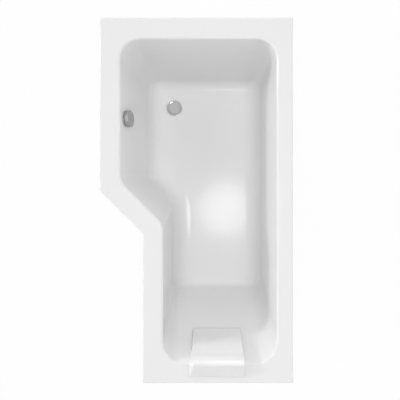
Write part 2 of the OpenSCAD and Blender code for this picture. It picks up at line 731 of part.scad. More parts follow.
module plug_seal() {
    color("dimgray") at_waste() translate([0, 0, seal_z])
        rotate_extrude() translate([seal_ring_d / 2, 0]) circle(d = seal_d, $fn = 32);
}

// Bell crank: its level arm lifts the stem, its hanging arm takes the cable.
lever_arm = 16;
lever_tip_r = 2.5;
lever_t = 6;
lever_pin_d = 4;
lever_swing = 2 * asin(plug_lift / 2 / lever_arm);
lever_x = -lever_arm * cos(lever_swing / 2);
lever_z = stem_end_z - rest_gap - lever_tip_r + plug_lift / 2;

module lift_lever() {
    color("gray") at_waste() translate([lever_x, lever_t / 2, lever_z]) rotate([90, lever_swing / 2, 0])
        difference() {
            linear_extrude(lever_t) union() {
                circle(r = 5);
                translate([0, -2]) square([lever_arm, 4]);
                translate([lever_arm, 0]) circle(r = lever_tip_r);
                translate([-2, -12]) square([4, 12]);
                translate([0, -12]) circle(r = 2.5);
            }
            translate([0, 0, -skin]) cylinder(d = lever_pin_d + 2 * run_gap, h = lever_t + 2 * skin);
            translate([0, -12, -skin]) cylinder(d = 2, h = lever_t + 2 * skin);
        }
}

lever_pin_l = 2 * (sqrt(pow(chamber_d / 2 - chamber_wall, 2) - lever_x * lever_x) + 2.5);

module lever_pin() {
    color("silver") at_waste() translate([lever_x, lever_pin_l / 2, lever_z]) rotate([90, 0, 0])
        cylinder(d = lever_pin_d, h = lever_pin_l);
}

module waste_body() {
    color("whitesmoke") at_waste() difference() {
        union() {
            translate([0, 0, body_top_z - 5]) cylinder(d = chamber_d + 12, h = 5);
            translate([0, 0, chamber_z]) cylinder(d = chamber_d, h = body_top_z - chamber_z - 5);
            translate([0, 0, outlet_tail_z]) cylinder(d = outlet_tail_d, h = chamber_z - outlet_tail_z + 1);
            translate([-inlet_reach, 0, inlet_z]) rotate([0, 90, 0]) cylinder(d = inlet_d, h = inlet_reach);
            translate([-gland_reach, gland_y, gland_z]) rotate([0, 90, 0])
                cylinder(d = gland_d, h = gland_reach - 14);
        }
        translate([0, 0, body_top_z - neck_l]) cylinder(d = tail_d + 2 * run_gap, h = neck_l + skin);
        translate([0, 0, chamber_z + chamber_wall])
            cylinder(d = chamber_d - 2 * chamber_wall, h = body_top_z - neck_l - chamber_z - chamber_wall);
        translate([0, 0, outlet_tail_z - skin]) cylinder(d = outlet_tail_d - 8, h = 40);
        translate([-inlet_reach - skin, 0, inlet_z]) rotate([0, 90, 0]) cylinder(d = inlet_d - 6, h = inlet_reach);
        translate([-gland_reach - skin, gland_y, gland_z]) rotate([0, 90, 0])
            cylinder(d = cable_d + 2 * run_gap, h = cable_seat + skin);
        translate([lever_x, lever_pin_l / 2 + run_gap, lever_z]) rotate([90, 0, 0])
            cylinder(d = lever_pin_d + 2 * run_gap, h = lever_pin_l + 2 * run_gap);
    }
}

// ---- Trap: down, round, up and out towards the wide end ----
trap_wall = 3;
washer_t = 3;
trap_inlet_z = outlet_tail_z - washer_t;
trap_drop = 28;
trap_turn_z = trap_inlet_z - trap_drop;
trap_rise = 12;
trap_nut_h = 24;
trap_collar_d = trap_d + 4;
trap_out_z = trap_turn_z + trap_rise + trap_bend_r;
trap_out_x = waste_x + 2 * trap_bend_r;
trap_out_y = waste_y + trap_bend_r + outlet_l;

module trap_run(d) {
    translate([0, 0, trap_turn_z]) cylinder(d = d, h = trap_inlet_z - trap_turn_z);
    translate([trap_bend_r, 0, trap_turn_z]) rotate([-90, 0, 0]) rotate_extrude(angle = 180)
        translate([trap_bend_r, 0]) circle(d = d);
    translate([2 * trap_bend_r, 0, trap_turn_z]) cylinder(d = d, h = trap_rise);
    translate([2 * trap_bend_r, trap_bend_r, trap_turn_z + trap_rise]) rotate([0, -90, 0]) rotate([0, 0, -90])
        rotate_extrude(angle = 90) translate([trap_bend_r, 0]) circle(d = d);
    translate([2 * trap_bend_r, trap_bend_r, trap_out_z]) rotate([-90, 0, 0]) cylinder(d = d, h = outlet_l);
}

module trap() {
    color("whitesmoke") at_waste() difference() {
        union() {
            trap_run(trap_d);
            translate([0, 0, trap_inlet_z - 3]) cylinder(d = trap_collar_d, h = 3);
        }
        trap_run(trap_d - 2 * trap_wall);
        translate([0, 0, trap_inlet_z - 1]) cylinder(d = trap_d - 2 * trap_wall, h = 2);
        translate([2 * trap_bend_r, trap_bend_r + outlet_l - 1, trap_out_z]) rotate([-90, 0, 0])
            cylinder(d = trap_d - 2 * trap_wall, h = 2);
    }
}

module trap_washer() {
    color("dimgray") at_waste() translate([0, 0, trap_inlet_z]) tube(outlet_tail_d, outlet_tail_d - 8, washer_t);
}

// A union nut with grip ribs: it hangs under the collar and turns on the tail's thread.
module trap_nut() {
    low = trap_inlet_z - 3 - 4;
    outer = outlet_tail_d + 8;
    color("whitesmoke") at_waste() difference() {
        union() {
            translate([0, 0, low]) cylinder(d = outer, h = trap_nut_h);
            for (a = [0:30:330]) rotate(a) translate([outer / 2 - 1, -2, low + 2]) cube([2.5, 4, trap_nut_h - 4]);
        }
        translate([0, 0, low - skin]) cylinder(d = trap_d + 2 * run_gap, h = trap_nut_h);
        translate([0, 0, low + 4]) cylinder(d = outlet_tail_d + 2 * run_gap, h = trap_nut_h);
    }
}

// ---- Overflow ----
module overflow_gasket() {
    color("dimgray") at_overflow() translate([0, 0, housing_z]) tube(housing_flange_d, overflow_hole_d, gasket_t);
}

module overflow_housing() {
    color("whitesmoke") at_overflow() difference() {
        union() {
            translate([0, 0, housing_z - housing_flange_t]) cylinder(d = housing_flange_d, h = housing_flange_t);
            translate([0, 0, housing_back_z]) cylinder(d = housing_d, h = housing_z - housing_back_z - 1);
            translate([0, 0, spigot_z]) rotate([0, 90, 0]) cylinder(d = inlet_d, h = spigot_reach);
            translate([10, cable_gland_y, cable_gland_z]) rotate([0, 90, 0])
                cylinder(d = cable_d + 5, h = cable_gland_reach - 10);
        }
        translate([0, 0, housing_back_z + housing_wall])
            cylinder(d = housing_bore_d + 2 * run_gap, h = skin - housing_back_z);
        translate([0, 0, spigot_z]) rotate([0, 90, 0]) cylinder(d = inlet_d - 6, h = spigot_reach + skin);
        translate([cable_gland_reach - cable_seat, cable_gland_y, cable_gland_z]) rotate([0, 90, 0])
            cylinder(d = cable_d + 2 * run_gap, h = cable_seat + skin);
    }
}

// The ring's tail screws into the housing and clamps the wall. Its spider carries the knob's spindle.
module overflow_ring() {
    ring_d = knob_d - 6;
    hub_d = spindle_d + 7;
    hub_l = 12;
    hub_end = -6;
    color("silver") at_overflow() {
        rotate_extrude() polygon([[housing_bore_d / 2 - ring_wall, -ring_tail_l], [housing_bore_d / 2, -ring_tail_l],
            [housing_bore_d / 2, bond], [ring_d / 2, bond], [ring_d / 2, ring_t - 2], [ring_d / 2 - 0.6, ring_t - 0.6],
            [ring_d / 2 - 2, ring_t], [housing_bore_d / 2 - 1, ring_t], [housing_bore_d / 2 - ring_wall, ring_t - 2]]);
        difference() {
            union() {
                translate([0, 0, hub_end - hub_l]) cylinder(d = hub_d, h = hub_l);
                for (a = [45:90:315]) rotate(a) translate([hub_d / 2 - 1, -1.5, hub_end - hub_l])
                    cube([(housing_bore_d - ring_wall - hub_d) / 2 + 1, 3, hub_l - 4]);
            }
            translate([0, 0, hub_end - hub_l - skin]) cylinder(d = spindle_d + 2 * run_gap, h = hub_l + 2 * skin);
        }
    }
}

module knob_spindle() {
    color("silver") at_overflow() translate([0, 0, crank_z]) cylinder(d = spindle_d, h = knob_reach - 4 - crank_z);
}

module cable_crank() {
    color("gray") at_overflow() translate([0, 0, crank_z]) difference() {
        union() {
            cylinder(d = crank_d, h = crank_t);
            translate([0, 0, crank_t - 1]) cylinder(d = spindle_d + 6, h = 4);
        }
        translate([0, 0, -skin]) cylinder(d = spindle_d + 2 * run_gap, h = crank_t + 10);
        for (a = [0, 180]) rotate(a) translate([crank_d / 2 - 4, 0, -skin]) cylinder(d = 2.4, h = crank_t + 2);
    }
}

// A shallow cup: rounded front edge, hollow behind, with a hub on the spindle.
module overflow_knob() {
    front = knob_reach;
    back = knob_reach - 17;
    r = knob_d / 2;
    round_r = 3;
    wall = 3;
    color("silver") at_overflow() difference() {
        union() {
            rotate_extrude() difference() {
                union() {
                    translate([0, back]) square([r, front - back - round_r]);
                    translate([0, back]) square([r - round_r, front - back]);
                    translate([r - round_r, front - round_r]) circle(r = round_r, $fn = 32);
                }
                translate([-skin, back - skin]) square([r - wall + skin, front - back - wall + skin]);
                translate([-r, back - skin]) square([r, front]);
            }
            translate([0, 0, front - 15]) cylinder(d = spindle_d + 8, h = 13);
        }
        translate([0, 0, front - 15 - skin]) cylinder(d = spindle_d + 2 * run_gap, h = 11 + skin + 0.1);
    }
}

// ---- Hose and cable: held all the way, between the overflow and the waste ----
cable_seat = 10;
function overflow_world(p) = [
    overflow_x + p[0] * sin(open_tilt) + p[2] * cos(open_tilt),
    overflow_y + p[1],
    rim_h - overflow_drop - p[0] * cos(open_tilt) + p[2] * sin(open_tilt)];
hose_start = overflow_world([spigot_reach + rest_gap, 0, spigot_z]);
hose_end = [waste_x - inlet_reach - rest_gap, waste_y, inlet_z];
// The routes' own points are measured from the waste, at the height of the bath floor there.
route_origin = [waste_x, waste_y, floor_z];
hose_points = [[-214, -110, 205], [-212, -100, 170], [-212, -84, 125], [-211, -64, 80], [-204, -43, 37],
    [-186, -24, 0], [-158, -9, -25], [-126, -1, -35]];
hose_route = [hose_start, overflow_world([spigot_reach + 15, 0, spigot_z]),
    overflow_world([spigot_reach + 28, 0, spigot_z]), for (p = hose_points) route_origin + p,
    hose_end + [-28, 0, 0], hose_end + [-15, 0, 0], hose_end];
hose_slices = smooth_path(hose_route, 6);
cuff_slices = 8;
hose_radii = [for (i = [0:len(hose_slices) - 1])
    (i < cuff_slices || i > len(hose_slices) - 1 - cuff_slices) ? inlet_d / 2 - 1
    : hose_d / 2 - (i % 2) * 2.2];

module overflow_hose() {
    color("gainsboro") swept_tube(hose_slices, hose_radii, 12);
}

module hose_nut() {
    nut_l = 26;
    nut_d = inlet_d + 9;
    color("whitesmoke") difference() {
        union() {
            translate([0, 0, -nut_l / 2]) cylinder(d = nut_d, h = nut_l);
            for (a = [0:45:315]) rotate(a) translate([nut_d / 2 - 1, -2, -nut_l / 2 + 2]) cube([2, 4, nut_l - 4]);
        }
        translate([0, 0, -nut_l / 2 - skin]) cylinder(d = inlet_d - 1.4, h = nut_l + 2 * skin);
        translate([0, 0, -nut_l / 2 - skin]) cylinder(d = inlet_d + 2 * run_gap, h = nut_l / 2 + skin + rest_gap);
    }
}

module hose_nuts() {
    at_overflow() translate([spigot_reach, 0, spigot_z]) rotate([0, 90, 0]) hose_nut();
    translate(hose_end + [rest_gap, 0, 0]) rotate([0, -90, 0]) hose_nut();
}

cable_start = overflow_world([cable_gland_reach - cable_seat, cable_gland_y, cable_gland_z]);
cable_leave = overflow_world([cable_gland_reach + 2, cable_gland_y, cable_gland_z]);
cable_end = [waste_x - gland_reach + cable_seat, waste_y + gland_y, gland_z];
cable_points = [[-228, -83, 220], [-225, -70, 170], [-222, -48, 115], [-214, -22, 55], [-192, 4, 7],
    [-160, 20, -23], [-122, 26, -41], [-88, 25, -47]];
cable_route = [cable_start, cable_leave, overflow_world([cable_gland_reach + 14, cable_gland_y, cable_gland_z]),
    for (p = cable_points) route_origin + p, cable_end + [-26, 0, 0], cable_end + [-12, 0, 0], cable_end];

module control_cable() {
    slices = smooth_path(cable_route, 5);
    color("dimgray") swept_tube(slices, [for (p = slices) cable_d / 2], 8);
}

// ---- Bracket screws ----
module bracket_screws() {
    color("gray") at_brackets() at_bracket_screws() wood_screw(steel_t, bracket_screw_l);
}

// ---- Headrest: over the flat of the rim, round its inner edge and down the backrest ----
pad_edge_r = 14;
pad_crest_t = 26;
pad_tail_t = 5;
pad_bend_steps = 8;
back_a = atan(tan(back_lean) / fall_scale(-flat_off(NARROW_END)));
pad_flat_y = -flat_off(NARROW_END);
bend_out = mouth_r + rest_gap;

// Points of the backrest side, at a distance down the slope from the rim's bend and a distance off the wall.
bend_end = [pad_flat_y + mouth_r * cos(back_a), rim_h - mouth_r + mouth_r * sin(back_a)];
function on_back(down, off) = bend_end + down * [sin(back_a), -cos(back_a)] + off * [cos(back_a), sin(back_a)];

module pad_profile() {
    polygon(concat(
        [[pad_flat_y - pad_rim_l, rim_h + rest_gap]],
        [for (k = [0:pad_bend_steps]) let (a = (90 - back_a) * k / pad_bend_steps)
            [pad_flat_y + bend_out * sin(a), rim_h - mouth_r + bend_out * cos(a)]],
        [on_back(pad_drop_l, rest_gap)],
        [for (k = [0:pad_bend_steps]) let (a = -90 + 180 * k / pad_bend_steps)
            on_back(pad_drop_l + pad_edge_r * 0.6 * cos(a), pad_t / 2 + rest_gap + (pad_t / 2 - rest_gap) * sin(a))],
        [for (k = [0:pad_bend_steps]) let (f = k / pad_bend_steps, a = 90 - back_a - f * (98 - back_a))
            pad_crest(a)],
        [[pad_flat_y - pad_rim_l, rim_h + pad_tail_t]]));
}

// The crest is an arc tangent to the slope's face and to the nearly level top.
crest_r = 34;
crest_middle = on_back(2, pad_t - crest_r);
function pad_crest(a) = crest_middle + crest_r * [sin(a), cos(a)];

module headrest_pad() {
    low_y = on_back(pad_drop_l + pad_edge_r, 0)[0];
    tail_y = pad_flat_y - pad_rim_l;
    color("white") difference() {
        intersection() {
            translate([pad_x - bath_w / 2, 0, 0]) rotate([90, 0, 90]) linear_extrude(bath_w) pad_profile();
            linear_extrude(bath_l) polygon([[pad_x - pad_top_w / 2, tail_y - skin], [pad_x + pad_top_w / 2, tail_y - skin],
                [pad_x + pad_top_w / 2, pad_flat_y], [pad_x + pad_low_w / 2, low_y + pad_t],
                [pad_x - pad_low_w / 2, low_y + pad_t], [pad_x - pad_top_w / 2, pad_flat_y]]);
        }
        at_cups() translate([0, 0, -skin]) cylinder(d = cup_d + 4, h = cup_h + skin + rest_gap);
    }
}

cup_d = 42;
cup_h = 12;
cup_down = 105;
cup_apart = 120;

module at_cups() {
    spot = on_back(cup_down, 0);
    for (side = [-1, 1]) translate([pad_x + side * cup_apart / 2, spot[0], spot[1]])
        rotate([-(90 - back_a), 0, 0]) children();
}

cup_hollow = 2.7;
cup_rim_w = 5;
cup_rim_t = 1;
cup_knob_d = 18;
cup_neck_d = 14;

module headrest_cups() {
    color("gainsboro") at_cups() rotate_extrude()
        polygon([[0, rest_gap + cup_hollow], [cup_d / 2 - cup_rim_w, rest_gap], [cup_d / 2, rest_gap],
            [cup_d / 2, rest_gap + cup_rim_t], [cup_knob_d / 2, cup_h / 2], [cup_neck_d / 2, cup_h * 0.66],
            [cup_knob_d / 2, cup_h * 0.8], [cup_knob_d / 2, cup_h], [0, cup_h]]);
}

bath_shell();
base_board();
batten_straight();
batten_wide_end();
batten_open();
batten_step();
batten_narrow();
batten_narrow_end();
rail_wide();
rail_narrow();
rail_screws();
centre_plate();
nuts_lower();
nuts_upper();
wall_brackets();
bracket_screws();
rod_wide_wall();
rod_wide_open();
rod_narrow_wall();
rod_narrow_open();
rod_centre();
foot_wide_wall();
foot_wide_open();
foot_narrow_wall();
foot_narrow_open();
foot_centre();
waste_flange();
waste_gasket_top();
waste_gasket_bottom();
waste_body();
waste_plug();
plug_seal();
lift_lever();
lever_pin();
trap_nut();
trap_washer();
trap();
overflow_ring();
overflow_gasket();
overflow_housing();
overflow_knob();
knob_spindle();
cable_crank();
overflow_hose();
hose_nuts();
control_cable();
headrest_pad();
headrest_cups();
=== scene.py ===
"""Looks of a P-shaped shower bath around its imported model. Metres, +Z up, +Y towards the wide end."""
import json
import math

import bpy
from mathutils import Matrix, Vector

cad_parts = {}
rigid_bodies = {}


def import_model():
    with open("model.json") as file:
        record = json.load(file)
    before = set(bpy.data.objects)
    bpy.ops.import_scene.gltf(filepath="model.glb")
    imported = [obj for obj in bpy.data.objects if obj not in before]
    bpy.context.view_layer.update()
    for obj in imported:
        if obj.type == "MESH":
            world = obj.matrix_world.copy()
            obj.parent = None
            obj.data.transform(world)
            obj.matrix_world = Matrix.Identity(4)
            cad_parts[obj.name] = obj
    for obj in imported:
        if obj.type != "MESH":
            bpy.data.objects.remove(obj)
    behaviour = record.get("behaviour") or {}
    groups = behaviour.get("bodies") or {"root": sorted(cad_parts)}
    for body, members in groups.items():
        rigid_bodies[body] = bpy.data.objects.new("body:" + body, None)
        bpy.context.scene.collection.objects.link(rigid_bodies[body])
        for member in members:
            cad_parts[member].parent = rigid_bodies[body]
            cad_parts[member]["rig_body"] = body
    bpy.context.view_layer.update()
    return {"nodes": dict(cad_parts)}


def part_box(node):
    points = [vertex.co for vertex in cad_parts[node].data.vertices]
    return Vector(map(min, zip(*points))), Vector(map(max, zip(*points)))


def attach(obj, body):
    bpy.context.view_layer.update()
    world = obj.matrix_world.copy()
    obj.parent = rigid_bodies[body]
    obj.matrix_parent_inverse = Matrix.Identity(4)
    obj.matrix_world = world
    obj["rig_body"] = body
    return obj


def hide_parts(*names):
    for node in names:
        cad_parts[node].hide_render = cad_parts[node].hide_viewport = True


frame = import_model()
nodes = frame["nodes"]

# A millimetre in metres, the height of the rim, the middle of the waste and the names of the five legs.
MM = 0.001
RIM_Z = 0.570
WASTE_X, WASTE_Y = -0.124, 0.504
LEGS = ("wide_wall", "wide_open", "narrow_wall", "narrow_open", "centre")


# ---- Small tools ----
def clamp(value):
    """The value, held between 0 and 1."""
    return min(max(value, 0), 1)


def ease(value):
    """A soft step from 0 to 1."""
    value = clamp(value)
    return value * value * (3 - 2 * value)


def only(*pieces):
    """Select these pieces alone; the last one is active."""
    bpy.ops.object.select_all(action="DESELECT")
    for piece in pieces:
        piece.select_set(True)
    bpy.context.view_layer.objects.active = pieces[-1]


def edit(piece, mode="VERT"):
    """Enter edit mode on one piece, to work on vertices, edges or faces."""
    only(piece)
    bpy.ops.object.mode_set(mode="EDIT")
    bpy.ops.mesh.select_mode(type=mode)


def done():
    """Leave edit mode."""
    bpy.ops.object.mode_set(mode="OBJECT")


def shape_with(piece, kind, **settings):
    """Add one modifier, set it and apply it."""
    only(piece)
    step = piece.modifiers.new(kind.lower(), kind)
    for name, value in settings.items():
        setattr(step, name, value)
    bpy.ops.object.modifier_apply(modifier=step.name)


def dress(piece, *materials):
    """Give the piece these materials and no others."""
    piece.data.materials.clear()
    for material in materials:
        piece.data.materials.append(material)


def soften(piece, angle=32):
    """Smooth rounds, crisp edges and flat panels that stay flat."""
    only(piece)
    bpy.ops.object.shade_smooth_by_angle(angle=math.radians(angle))
    shape_with(piece, "WEIGHTED_NORMAL", mode="FACE_AREA", weight=50, keep_sharp=True)


def copy_of(name, piece_name):
    """A merged copy of a CAD node's solid, ready to be shaped."""
    source = nodes[name]
    piece = source.copy()
    piece.data = source.data.copy()
    bpy.context.scene.collection.objects.link(piece)
    for key in list(piece.keys()):
        del piece[key]
    piece.parent = None
    piece.name = piece_name
    piece.data.name = piece_name
    edit(piece)
    bpy.ops.mesh.select_all(action="SELECT")
    bpy.ops.mesh.remove_doubles(threshold=0.01 * MM)
    bpy.ops.mesh.tris_convert_to_quads()
    done()
    return piece


def stand_for(piece, name):
    """The piece rides on the node's body and replaces the node, which is hidden."""
    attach(piece, nodes[name]["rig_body"])
    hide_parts(name)


def smoothed(name, piece_name, material):
    """A CAD node's solid with smooth rounds, in place of the node."""
    piece = copy_of(name, piece_name)
    soften(piece)
    dress(piece, material)
    stand_for(piece, name)


def route_through(points, steps):
    """A smooth line through the points, with as many steps from each one to the next."""
    line = []
    last = len(points) - 1
    for i in range(last):
        a, b = points[max(i - 1, 0)], points[i]
        c, d = points[i + 1], points[min(i + 2, last)]
        for k in range(steps):
            f = k / steps
            line.append(0.5 * (2 * b + (c - a) * f + (2 * a - 5 * b + 4 * c - d) * f * f
                               + (3 * b - a - 3 * c + d) * f ** 3))
    line.append(points[last])
    return line


def tube_along(piece_name, line, radii, sides):
    """A closed tube along a line, with its own radius at each point."""
    curve = bpy.data.curves.new(piece_name, "CURVE")
    curve.dimensions = "3D"
    curve.bevel_depth = 1.0
    curve.bevel_resolution = sides // 4
    curve.use_fill_caps = True
    curve.twist_mode = "MINIMUM"
    spline = curve.splines.new("POLY")
    spline.points.add(len(line) - 1)
    for point, place, radius in zip(spline.points, line, radii):
        point.co = (*place, 1)
        point.radius = radius
    piece = bpy.data.objects.new(piece_name, curve)
    bpy.context.scene.collection.objects.link(piece)
    only(piece)
    bpy.ops.object.convert(target="MESH")
    return bpy.context.object


# ---- Materials ----
class Finish:
    """One node material: its shader and short ways to add a pattern, a bump or a colour change."""

    def __init__(self, name, colour, roughness, metallic=0.0):
        self.material = bpy.data.materials.new(name)
        self.material.use_nodes = True
        self.tree = self.material.node_tree
        self.shader = next(n for n in self.tree.nodes if n.type == "BSDF_PRINCIPLED")
        self.shader.inputs["Base Color"].default_value = (*colour, 1)
        self.shader.inputs["Roughness"].default_value = roughness
        self.shader.inputs["Metallic"].default_value = metallic
        self.place = self.add("ShaderNodeTexCoord").outputs["Object"]

    def add(self, kind, **settings):
        made = self.tree.nodes.new(kind)
        for name, value in settings.items():
            setattr(made, name, value)
        return made

    def join(self, source, target):
        self.tree.links.new(source, target)

    def set(self, **values):
        for name, value in values.items():
            self.shader.inputs[name.replace("_", " ")].default_value = value

    def stretched(self, scale=(1, 1, 1), turn=(0, 0, 0)):
        mapping = self.add("ShaderNodeMapping")
        mapping.inputs["Scale"].default_value = scale
        mapping.inputs["Rotation"].default_value = turn
        self.join(self.place, mapping.inputs["Vector"])
        return mapping.outputs["Vector"]

    def noise(self, scale, detail=3, roughness=0.55, place=None, distortion=0.0):
        made = self.add("ShaderNodeTexNoise")
        made.inputs["Scale"].default_value = scale
        made.inputs["Detail"].default_value = detail
        made.inputs["Roughness"].default_value = roughness
        made.inputs["Distortion"].default_value = distortion
        self.join(place or self.place, made.inputs["Vector"])
        return made.outputs["Fac"]

    def cells(self, scale, feature="F1", place=None, output="Distance"):
        made = self.add("ShaderNodeTexVoronoi", feature=feature)
        made.inputs["Scale"].default_value = scale
        self.join(place or self.place, made.inputs["Vector"])
        return made.outputs[output]

    def ramp(self, value, *stops):
        made = self.add("ShaderNodeValToRGB")
        points = made.color_ramp.elements
        while len(points) < len(stops):
            points.new(0.5)
        for point, (at, colour) in zip(points, stops):
            point.position = at
            point.color = (*colour, 1)
        self.join(value, made.inputs["Fac"])
        return made.outputs["Color"]

    def spread(self, value, low, high, from_low=0.3, from_high=0.7):
        made = self.add("ShaderNodeMapRange")
        made.inputs["From Min"].default_value = from_low
        made.inputs["From Max"].default_value = from_high
        made.inputs["To Min"].default_value = low
        made.inputs["To Max"].default_value = high
        self.join(value, made.inputs["Value"])
        return made.outputs["Result"]

    def colour(self, value):
        self.join(value, self.shader.inputs["Base Color"])

    def rough(self, value):
        self.join(value, self.shader.inputs["Roughness"])

    def bump(self, value, height, strength=1.0):
        made = self.add("ShaderNodeBump")
        made.inputs["Strength"].default_value = strength
        made.inputs["Distance"].default_value = height
        self.join(value, made.inputs["Height"])
        normal = self.shader.inputs["Normal"]
        if normal.is_linked:
            self.join(normal.links[0].from_socket, made.inputs["Normal"])
        self.join(made.outputs["Normal"], normal)


def grey(level):
    """A colour without hue."""
    return (level, level, level)


def white_acrylic():
    f = Finish("white_acrylic", grey(0.75), 0.14)
    f.set(IOR=1.49)
    f.colour(f.ramp(f.noise(3, 2), (0.3, grey(0.745)), (0.7, grey(0.755))))
    f.rough(f.spread(f.noise(9, 4), 0.12, 0.15))
    f.bump(f.noise(22, 2), 0.06 * MM)
    return f.material


def glass_fibre_backing():
    f = Finish("glass_fibre_backing", (0.62, 0.6, 0.52), 0.45)
    f.set(IOR=1.52)
    strands = f.cells(90, place=f.stretched((1, 1, 1), (0.3, 0.2, 0.6)))
    long_way = f.noise(140, 5, 0.7, f.stretched((0.16, 1.6, 0.5), (0.4, 0.1, 0.7)), 0.6)
    cross_way = f.noise(140, 5, 0.7, f.stretched((1.6, 0.16, 0.6), (0.1, 0.5, -0.5)), 0.6)
    f.colour(f.ramp(long_way, (0.3, (0.5, 0.47, 0.38)), (0.52, (0.66, 0.64, 0.56)),
                    (0.75, (0.78, 0.76, 0.7))))
    f.rough(f.spread(cross_way, 0.3, 0.62))
    f.bump(long_way, 0.5 * MM, 0.7)
    f.bump(cross_way, 0.5 * MM, 0.7)
    f.bump(strands, 0.4 * MM, 0.4)
    return f.material


def chrome_plate():
    f = Finish("chrome_plate", grey(0.45), 0.07, 1.0)
    # Painted reflection: the plate's colour is painted darker where its surface turns away from the camera,
    # standing in for dark reflections of the walls around it.
    facing_for_painted_dark_reflection = f.add("ShaderNodeLayerWeight")
    facing_for_painted_dark_reflection.inputs["Blend"].default_value = 0.5
    f.colour(f.ramp(facing_for_painted_dark_reflection.outputs["Facing"], (0.0, grey(0.45)), (0.55, grey(0.45)), (0.8, grey(0.33)),
                    (0.97, grey(0.16))))
    f.rough(f.spread(f.noise(60, 3), 0.05, 0.11))
    f.bump(f.noise(35, 2), 0.02 * MM)
    return f.material


def zinc_plate():
    f = Finish("zinc_plate", (0.6, 0.61, 0.64), 0.34, 1.0)
    spangle = f.cells(160, output="Color")
    f.rough(f.spread(f.noise(210, 4), 0.26, 0.46))
    f.colour(f.ramp(spangle, (0.0, (0.5, 0.51, 0.54)), (1.0, (0.68, 0.69, 0.71))))
    f.bump(f.noise(420, 3), 0.03 * MM)
    return f.material


def chipboard():
    f = Finish("chipboard", (0.5, 0.37, 0.22), 0.7)
    chips = f.cells(230, place=f.stretched((1, 1.7, 1.2), (0, 0, 0.5)), output="Color")
    f.colour(f.ramp(chips, (0.0, (0.3, 0.2, 0.1)), (0.45, (0.5, 0.36, 0.21)), (0.8, (0.62, 0.48, 0.3)),
                    (1.0, (0.7, 0.57, 0.38))))
    f.bump(f.noise(500, 5, 0.7), 0.25 * MM)
    f.rough(f.spread(f.noise(80, 3), 0.5, 0.8))
    return f.material


def sawn_softwood(name, along):
    """Grain along one axis: along is the index of the axis."""
    f = Finish(name, (0.62, 0.45, 0.26), 0.62)
    scale = [1.0, 1.0, 1.0]
    scale[along] = 0.05
    grain = f.stretched(tuple(scale))
    rings = f.noise(55, 4, 0.6, grain, 1.2)
    fibre = f.noise(420, 4, 0.65, grain)
    f.colour(f.ramp(rings, (0.3, (0.5, 0.33, 0.16)), (0.48, (0.66, 0.49, 0.29)), (0.7, (0.73, 0.57, 0.36))))
    f.bump(rings, 0.2 * MM, 0.5)
    f.bump(fibre, 0.2 * MM, 0.8)
    f.rough(f.spread(fibre, 0.5, 0.75))
    return f.material


def moulded_plastic(name, level, roughness, tint=(1, 1, 1)):
    base = [level * t for t in tint]
    darker = [c * 0.95 for c in base]
    lighter = [min(c * 1.04, 1) for c in base]
    f = Finish(name, base, roughness)
    f.set(IOR=1.5)
    f.colour(f.ramp(f.noise(25, 3), (0.3, darker), (0.7, lighter)))
    f.rough(f.spread(f.noise(160, 3), roughness - 0.06, roughness + 0.08))
    f.bump(f.noise(900, 2), 0.02 * MM)
    f.bump(f.noise(60, 2), 0.04 * MM)
    return f.material


def black_rubber():
    f = Finish("black_rubber", grey(0.03), 0.62)
    f.colour(f.ramp(f.noise(90, 3), (0.3, grey(0.024)), (0.7, grey(0.045))))
    f.bump(f.noise(700, 3), 0.03 * MM)
    return f.material


def soft_cup():
    f = Finish("soft_cup", (0.72, 0.75, 0.76), 0.3)
    f.set(Transmission_Weight=0.55, IOR=1.43)
    f.rough(f.spread(f.noise(120, 2), 0.22, 0.38))
    return f.material


def headrest_skin():
    """Smooth moulded foam skin with a very fine grain."""
    f = Finish("headrest_skin", grey(0.725), 0.17)
    f.set(IOR=1.49)
    f.colour(f.ramp(f.noise(14, 3), (0.3, grey(0.715)), (0.7, grey(0.735))))
    grain = f.cells(900, feature="DISTANCE_TO_EDGE")
    f.bump(grain, 0.02 * MM, 0.4)
    f.bump(f.noise(240, 4), 0.03 * MM, 0.4)
    f.rough(f.spread(f.noise(70, 3), 0.14, 0.2))
    return f.material


acrylic = white_acrylic()
backing = glass_fibre_backing()
chrome = chrome_plate()
zinc = zinc_plate()
board = chipboard()
wood_along_x = sawn_softwood("softwood_x", 0)
wood_along_y = sawn_softwood("softwood_y", 1)
white_plastic = moulded_plastic("white_plastic", 0.78, 0.36)
grey_plastic = moulded_plastic("grey_plastic", 0.2, 0.4, (1, 1.02, 1.05))
foot_plastic = moulded_plastic("foot_plastic", 0.035, 0.42)
hose_plastic = moulded_plastic("hose_plastic", 0.68, 0.42, (1, 1, 0.96))
cable_sheath = moulded_plastic("cable_sheath", 0.05, 0.4)
rubber = black_rubber()
cup_rubber = soft_cup()
pad_skin = headrest_skin()


# ---- Shell: glossy acrylic above, glass-fibre backing below ----
# Height of the floor panel at the waste, its fall, and how close to its plane a corner counts as in it.
FLOOR_AT_WASTE = 0.175
FLOOR_FALL = 0.008544
PLANE_GAP = 0.2 * MM
# Corners this close to the middle of the waste belong to its hole.
WASTE_ZONE = 0.06
# Places that part the right and left side, the step and the two ends of the panel's outline.
RIGHT_X, LEFT_X = 0.24, 0.0
STEP_Y, WIDE_END_Y, NARROW_END_Y = 0.15, 0.57, -0.42
# How far the outline of the panel moves inward on each side.
LEFT_IN, STEP_IN, RIGHT_IN, WIDE_END_IN, NARROW_END_IN = 7 * MM, 10 * MM, 7 * MM, 4.5 * MM, -4 * MM
# Width of the ring along the outline, and how far it rises to the cove.
CREASE_W = 7.5 * MM
CREASE_RISE = 0.6 * MM


def near_waste(point):
    """True on the rim of the waste's hole."""
    return math.hypot(point.x - WASTE_X, point.y - WASTE_Y) < WASTE_ZONE


def on_floor_panel(piece, face):
    """True where the whole face lies in the plane of the floor panel."""
    corners = [piece.data.vertices[i].co for i in face.vertices]
    return all(abs(co.z - FLOOR_AT_WASTE - (WASTE_Y - co.y) * FLOOR_FALL) < PLANE_GAP for co in corners)


def select_floor_panel(piece):
    """Select the faces of the floor panel; nothing is selected before."""
    for face in piece.data.polygons:
        face.select = on_floor_panel(piece, face)


